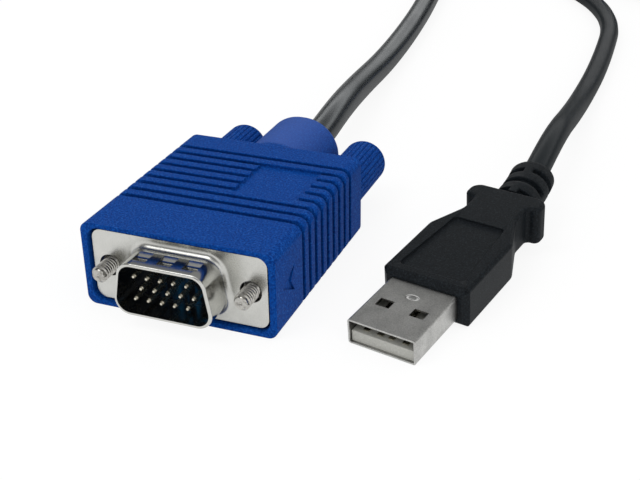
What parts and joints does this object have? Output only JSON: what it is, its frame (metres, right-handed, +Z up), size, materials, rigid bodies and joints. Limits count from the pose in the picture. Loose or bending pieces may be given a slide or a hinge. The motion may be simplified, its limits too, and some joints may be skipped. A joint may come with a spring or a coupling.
{
  "type": "console cable with video and usb plugs",
  "caption": "Console cable: a ribbed video plug with two captive thumbscrews and a flat plug, on two leads that join one trunk.",
  "frame": {"origin": "centre of the video plug's flange face, midway between its two lock screws, 7.5 mm above the surface that the cable lies on", "axes": "+Y back along the video plug towards its lead, +Z up, +X to the right of someone facing the plug's front"},
  "size_m": [0.0927, 0.3588, 0.015],
  "materials": {
    "blue_pvc": "satin moulded PVC with a fine grain",
    "nickel_sheet": "nickel-plated drawn sheet, satin",
    "usb_steel": "nickel-plated folded sheet, lightly brushed",
    "plated_steel": "bright nickel-plated turned steel",
    "spring_steel": "plain steel washer",
    "gold_contact": "thin gold flash over nickel",
    "dark_insulator": "dark blue-black moulded plastic",
    "white_plastic": "plain white moulded plastic",
    "black_pvc": "satin black moulded PVC",
    "cable_jacket": "dark grey-black extruded PVC, soft sheen"
  },
  "bodies": {
    "cable": {"console_ferrule": "plated_steel", "console_front_shell": "nickel_sheet", "console_hood": "blue_pvc", "console_inner_mould": "white_plastic", "console_insulator": "dark_insulator", "console_pins": "gold_contact", "console_rear_shell": "nickel_sheet", "junction_block": "black_pvc", "trunk_coil": "cable_jacket", "trunk_in": "cable_jacket", "trunk_out": "cable_jacket", "usb_contact_1": "gold_contact", "usb_contact_2": "gold_contact", "usb_contact_3": "gold_contact", "usb_contact_4": "gold_contact", "usb_ferrule": "plated_steel", "usb_inner_mould": "white_plastic", "usb_insulator": "white_plastic", "usb_lead": "cable_jacket", "usb_overmould": "black_pvc", "usb_shell": "usb_steel", "video_ferrule": "plated_steel", "video_front_shell": "nickel_sheet", "video_hood": "blue_pvc", "video_inner_mould": "white_plastic", "video_insulator": "dark_insulator", "video_lead": "cable_jacket", "video_pin_1": "gold_contact", "video_pin_10": "gold_contact", "video_pin_11": "gold_contact", "video_pin_12": "gold_contact", "video_pin_13": "gold_contact", "video_pin_14": "gold_contact", "video_pin_15": "gold_contact", "video_pin_2": "gold_contact", "video_pin_3": "gold_contact", "video_pin_4": "gold_contact", "video_pin_5": "gold_contact", "video_pin_6": "gold_contact", "video_pin_7": "gold_contact", "video_pin_8": "gold_contact", "video_pin_9": "gold_contact", "video_rear_shell": "nickel_sheet"},
    "video_washer_left": {"video_washer_left": "spring_steel"},
    "video_thumbscrew_left": {"video_screw_left": "plated_steel", "video_knob_left": "blue_pvc"},
    "video_washer_right": {"video_washer_right": "spring_steel"},
    "video_thumbscrew_right": {"video_screw_right": "plated_steel", "video_knob_right": "blue_pvc"},
    "console_washer_left": {"console_washer_left": "spring_steel"},
    "console_thumbscrew_left": {"console_screw_left": "plated_steel", "console_knob_left": "blue_pvc"},
    "console_washer_right": {"console_washer_right": "spring_steel"},
    "console_thumbscrew_right": {"console_screw_right": "plated_steel", "console_knob_right": "blue_pvc"}
  },
  "joints": [
    {"name": "video_screw_left_slide", "type": "slide", "parent": "cable", "child": "video_washer_left", "axis": [0, 1, 0], "range_m": [0, 0.0045]},
    {"name": "video_screw_left_turn", "type": "hinge", "parent": "video_washer_left", "child": "video_thumbscrew_left", "pos_m": [-0.01249, 0, 0], "axis": [0, 1, 0], "continuous": true},
    {"name": "video_screw_right_slide", "type": "slide", "parent": "cable", "child": "video_washer_right", "axis": [0, 1, 0], "range_m": [0, 0.0045]},
    {"name": "video_screw_right_turn", "type": "hinge", "parent": "video_washer_right", "child": "video_thumbscrew_right", "pos_m": [0.01249, 0, 0], "axis": [0, 1, 0], "continuous": true},
    {"name": "console_screw_left_slide", "type": "slide", "parent": "cable", "child": "console_washer_left", "axis": [0, 1, 0], "range_m": [0, 0.0045]},
    {"name": "console_screw_left_turn", "type": "hinge", "parent": "console_washer_left", "child": "console_thumbscrew_left", "pos_m": [0.0395, 0.213, 0], "axis": [0, 1, 0], "continuous": true},
    {"name": "console_screw_right_slide", "type": "slide", "parent": "cable", "child": "console_washer_right", "axis": [0, 1, 0], "range_m": [0, 0.0045]},
    {"name": "console_screw_right_turn", "type": "hinge", "parent": "console_washer_right", "child": "console_thumbscrew_right", "pos_m": [0.06449, 0.213, 0], "axis": [0, 1, 0], "continuous": true}
  ]
}
